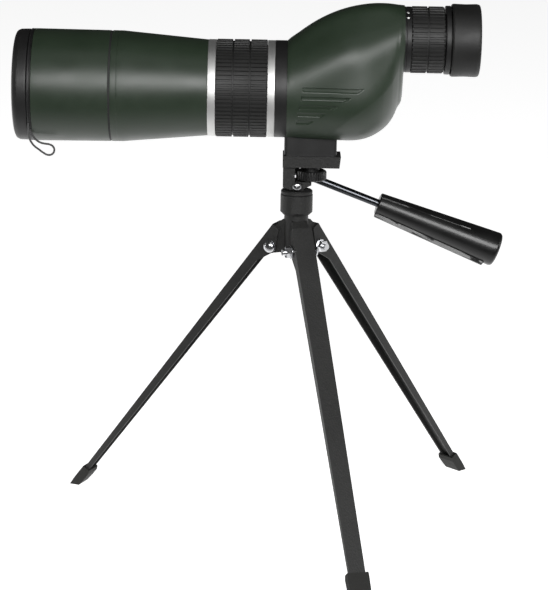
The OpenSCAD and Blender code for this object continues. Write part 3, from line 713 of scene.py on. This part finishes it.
ZOOM_GRIP_BORE, ZOOM_RIBS = 19.4 * mm, 44
zoom_groove = span("zoom_ring_grip")[0] + 10.4 * mm
ribbed(
    "zoom_ring_ribs", EYE, "zoom_ring_grip", ZOOM_GRIP_BORE, ZOOM_RIBS, 0.6 * mm, [zoom_groove],
    0.6 * mm, RUBBER, "zoom_ring",
)
# The eyecup's base has a flange and a sleeve, and the eyecup slides on both
FLANGE_LENGTH, BASE_LENGTH, SLEEVE_R = 3.2 * mm, 11.9 * mm, 18.5 * mm
EYECUP_BORE, EYE_OPENING = 18.8 * mm, 15.5 * mm
FLANGE_PLAY = 0.15 * mm
base_x0 = span("eyecup_base")[0]
base_r = radius("eyecup_base")
cup_x0, cup_x1 = span("eyecup")
cup_r = radius("eyecup")
lathe(
    "eyecup_base_turned",
    [
        (base_x0, EYE_TUBE_R), (base_x0, base_r - 0.1 * mm), (base_x0 + FLANGE_LENGTH, base_r),
        (base_x0 + FLANGE_LENGTH, SLEEVE_R), (base_x0 + BASE_LENGTH, SLEEVE_R),
        (base_x0 + BASE_LENGTH, EYE_TUBE_R),
    ],
    along_x(EYE), BLACK, "tilt_head", ["eyecup_base"], round_by=0.4 * mm,
)
lathe(
    "eyecup_rubber",
    [
        (cup_x0, base_r + FLANGE_PLAY), (cup_x0, cup_r - 0.6 * mm), (cup_x0 + 0.9 * mm, cup_r),
        (cup_x0 + 9 * mm, cup_r - 0.25 * mm), (cup_x1 - 2.2 * mm, cup_r),
        (cup_x1 - 0.5 * mm, cup_r - 0.5 * mm), (cup_x1, cup_r - 1.6 * mm), (cup_x1 - 0.2 * mm, 20.2 * mm),
        (cup_x1 - 4.5 * mm, EYE_OPENING), (cup_x1 - 6.5 * mm, EYE_OPENING), (cup_x1 - 6.5 * mm, EYECUP_BORE),
        (cup_x1 - 15.1 * mm, EYECUP_BORE), (cup_x1 - 15.1 * mm, base_r + FLANGE_PLAY),
    ],
    along_x(EYE), RUBBER, "eyecup_slider", ["eyecup"], round_by=0.8 * mm,
)

# ---- Knob on the camera screw ----

knob_z0, hub_top = span("camera_knob", 2)
knob_z1 = knob_z0 + 6.4 * mm
knob_r = radius("camera_knob", 1)
KNOB_RIBS, SCREW_BORE, HUB_R = 30, 3.1 * mm, 5.2 * mm
knob_axis = Vector((middle("camera_knob", 0), middle("camera_knob", 1), 0))
knurled(
    "camera_knob_ribs",
    [
        (knob_z0, SCREW_BORE, 0), (knob_z0, knob_r - 1.2 * mm, 0),
        (knob_z0 + 0.2 * mm, knob_r - 0.9 * mm, 0), (knob_z0 + 0.7 * mm, knob_r, 1),
        (knob_z1 - 1.1 * mm, knob_r, 1), (knob_z1 - 0.4 * mm, knob_r - 0.5 * mm, 0.4),
        (knob_z1, knob_r - 1.3 * mm, 0), (knob_z1 - 0.3 * mm, knob_r - 2.0 * mm, 0),
        (knob_z1 - 1.8 * mm, knob_r - 2.6 * mm, 0), (knob_z1 - 1.8 * mm, HUB_R, 0), (hub_top, HUB_R, 0),
        (hub_top, SCREW_BORE, 0),
    ],
    KNOB_RIBS, 0.6 * mm, along_z(knob_axis), BLACK, "camera_screw_knob", ["camera_knob"],
)

# ---- Handle grip: flared, with a moulded flange below and a fine rib above ----

ROD_SLOPE = math.radians(20.7)
ROD_START = Vector((COLUMN.x - 1.5 * mm, COLUMN.y + 14 * mm, 229.6 * mm))
GRIP_START, GRIP_LENGTH = 58.2 * mm, 84 * mm
GRIP_NEAR_R, GRIP_FAR_R, ROD_R = 7.1 * mm, 11.3 * mm, 2.6 * mm
# Each raised line: its direction around the rod from straight down, height, half width, and where it stops
GRIP_LINES = [
    (math.radians(-25), 2.2 * mm, 0.9 * mm, 78 * mm),
    (math.radians(-142), 0.4 * mm, 0.45 * mm, 62 * mm),
]
GRIP_TURNS = 300
# Where the raised lines begin, how wide their sloping edges are, and the least radius that has them
LINE_START, LINE_EDGE, LEAST_LINE_R = 0.5 * mm, 0.3 * mm, 5.5 * mm


def grip_radius(s):
    """The flaring grip's radius at s from its near end."""
    return GRIP_NEAR_R + (GRIP_FAR_R - GRIP_NEAR_R) * s / (GRIP_LENGTH - 2 * mm)


def line_height(s, r, a):
    """How far the raised lines stand out at s, in the direction a from straight down."""
    total = 0
    for turn, height, half, stop in GRIP_LINES:
        if math.cos(a - turn) > 0 and LINE_START < s < stop and r > LEAST_LINE_R:
            offset = abs(r * math.sin(a - turn))
            total += height * min(max((half - offset) / LINE_EDGE + 1, 0), 1)
    return total


def grip_mesh():
    along = Vector((math.cos(ROD_SLOPE), 0, -math.sin(ROD_SLOPE)))
    down = Vector((-math.sin(ROD_SLOPE), 0, -math.cos(ROD_SLOPE)))
    # Even stations, and close pairs where the raised lines stop
    stations = sorted([*np.arange(1.0, 80.5, 2.5) * mm, 61.7 * mm, 62.3 * mm, 77.5 * mm, 78.3 * mm])
    path = [
        (0, ROD_R), (0, GRIP_NEAR_R - 1.0 * mm), (0.15 * mm, GRIP_NEAR_R - 0.45 * mm),
        (0.6 * mm, GRIP_NEAR_R), *[(s, grip_radius(s)) for s in stations],
        (GRIP_LENGTH - 2.2 * mm, GRIP_FAR_R), (GRIP_LENGTH - 1.2 * mm, GRIP_FAR_R - 0.25 * mm),
        (GRIP_LENGTH - 0.4 * mm, GRIP_FAR_R - 0.9 * mm), (GRIP_LENGTH, GRIP_FAR_R - 2 * mm),
        (GRIP_LENGTH, 6 * mm), (GRIP_LENGTH - 0.8 * mm, 5 * mm), (GRIP_LENGTH - 0.8 * mm, 0),
    ]
    verts, rings = [], []
    for s, r in path:
        rings.append(range(len(verts), len(verts) + GRIP_TURNS))
        for k in range(GRIP_TURNS):
            a = 2 * math.pi * k / GRIP_TURNS
            reach = r + line_height(s, r, a)
            across = down * (reach * math.cos(a)) + Vector((0, reach * math.sin(a), 0))
            verts.append(ROD_START + along * (GRIP_START + s) + across)
    piece = mesh_object(
        "handle_grip_moulding", verts, bridge(rings), GLOSS, "handle", ["handle_grip"], sharp=40
    )
    work = bmesh.new()
    work.from_mesh(piece.data)
    bmesh.ops.remove_doubles(work, verts=work.verts, dist=0.001 * mm)
    work.to_mesh(piece.data)
    work.free()


grip_mesh()

# ---- CAD nodes shown with their own finish ----

FINISHES = [
    (MATT, 0, ["objective_cell", "objective_retainer", "guide_tube", "focus_ring_core", "focus_lens_cell"]),
    (MATT, 0, ["prism_plate", "zoom_front_cell", "zoom_rear_cell"]),
    (BLACK, 0, ["eyepiece_tube", "zoom_ring_core", "eye_lens_cell"]),
    (LENS, 0, ["objective_front_lens", "objective_rear_lens", "focus_lens", "prism_front", "prism_rear"]),
    (LENS, 0, ["zoom_front_lens", "zoom_rear_lens", "eye_lens"]),
    (BLACK, 0.5 * mm, ["scope_foot"]),
    (BRASS, 0, ["foot_insert"]),
    (CHROME, 0, ["foot_screws", "camera_screw", "tilt_screw", "pan_screw", "leg_bolts"]),
    (CHROME, 0.15 * mm, ["tilt_nut"]),
    (CHROME, 0.2 * mm, ["leg_nuts"]),
    (CHROME, 0.1 * mm, ["leg_washers"]),
    (RUBBER, 0, ["platform_pad"]),
    (STEEL, 0, ["handle_rod"]),
    (CRINKLE, 0.4 * mm, ["tilt_bracket"]),
    (CRINKLE, 0.2 * mm, ["pan_stem"]),
    (CRINKLE, 0.3 * mm, ["pan_collar", "crown", "leg_near", "leg_right", "leg_left"]),
    (BOOT, 0.9 * mm, ["foot_near", "foot_right", "foot_left"]),
]
for material, bevel, nodes in FINISHES:
    for node in nodes:
        finish_node(node, material, bevel)

# ---- Floor, world and lights ----


def by_camera_ray(tree, lit, seen, target):
    """Join lit to target for every ray but the camera's own, which see the other shader."""
    path = tree.nodes.new("ShaderNodeLightPath")
    choose = tree.nodes.new("ShaderNodeMixShader")
    tree.links.new(path.outputs["Is Camera Ray"], choose.inputs["Fac"])
    tree.links.new(lit, choose.inputs[1])
    tree.links.new(seen, choose.inputs[2])
    tree.links.new(choose.outputs["Shader"], target)


def stage_floor(half=30.0, seen_glow=0.86, front_glow=0.06, back_glow=1.5):
    """A pale floor. The object reflects it as bright behind and dim in front."""
    mesh = bpy.data.meshes.new("floor")
    corners = [(-half, -half, 0), (half, -half, 0), (half, half, 0), (-half, half, 0)]
    mesh.from_pydata(corners, [], [(0, 1, 2, 3)])
    floor = bpy.data.objects.new("floor", mesh)
    bpy.context.scene.collection.objects.link(floor)
    n = Nodes("pale_floor")
    pale = n.blend(n.remap(n.noise(0.4), 0, 1), (0.86, 0.86, 0.86), (0.88, 0.88, 0.88))
    n.join(pale, n.shader.inputs["Base Color"])
    n.shader.inputs["Roughness"].default_value = 0.9
    n.shader.inputs["Emission Color"].default_value = (1, 1, 1, 1)
    n.shader.inputs["Emission Strength"].default_value = seen_glow
    grey = n.add("ShaderNodeEmission")
    place = n.add("ShaderNodeSeparateXYZ")
    n.join(n.coords, place.inputs["Vector"])
    dim_y, bright_y = -0.3, 0.05
    n.join(n.remap(place.outputs["Y"], front_glow, back_glow, dim_y, bright_y), grey.inputs["Strength"])
    target = n.tree.nodes["Material Output"].inputs["Surface"]
    by_camera_ray(n.tree, grey.outputs["Emission"], n.shader.outputs["BSDF"], target)
    mesh.materials.append(n.material)


def studio_world(seen, light):
    """White where the camera looks past the object, and a dimmer grey for its light and reflections."""
    world = bpy.data.worlds.new("studio")
    world.use_nodes = True
    tree = world.node_tree
    lit = tree.nodes["Background"]
    plain = tree.nodes.new("ShaderNodeBackground")
    for node, strength in ((lit, light), (plain, seen)):
        node.inputs["Color"].default_value = (1, 1, 1, 1)
        node.inputs["Strength"].default_value = strength
    target = tree.nodes["World Output"].inputs["Surface"]
    by_camera_ray(tree, lit.outputs["Background"], plain.outputs["Background"], target)
    bpy.context.scene.world = world


stage_floor()
bpy.context.scene.view_settings.view_transform = "Standard"
studio_world(1.0, 0.03)


LIGHTS_AIM = Vector((0, 0, 0.2))


def softbox(name, azimuth, elevation, distance, size, watts):
    """An area light aimed at the telescope. Azimuth 0 is the camera's side, and 90 the eyepiece's."""
    data = bpy.data.lights.new(name, "AREA")
    data.shape = "RECTANGLE"
    data.size, data.size_y = size
    data.energy = watts
    light = bpy.data.objects.new(name, data)
    bpy.context.scene.collection.objects.link(light)
    a, e = math.radians(azimuth), math.radians(elevation)
    away = Vector((math.sin(a) * math.cos(e), -math.cos(a) * math.cos(e), math.sin(e)))
    light.location = LIGHTS_AIM + away * distance
    light.rotation_euler = away.to_track_quat("Z", "Y").to_euler()


softbox("front_softbox", 8, 22, 2.0, (2.2, 0.7), 54)
softbox("top_softbox", 0, 72, 1.7, (1.4, 0.4), 1.5)
softbox("eyepiece_side_softbox", 80, 16, 1.8, (0.3, 0.8), 4)
softbox("cap_side_softbox", -85, 15, 1.8, (0.3, 1.0), 4)
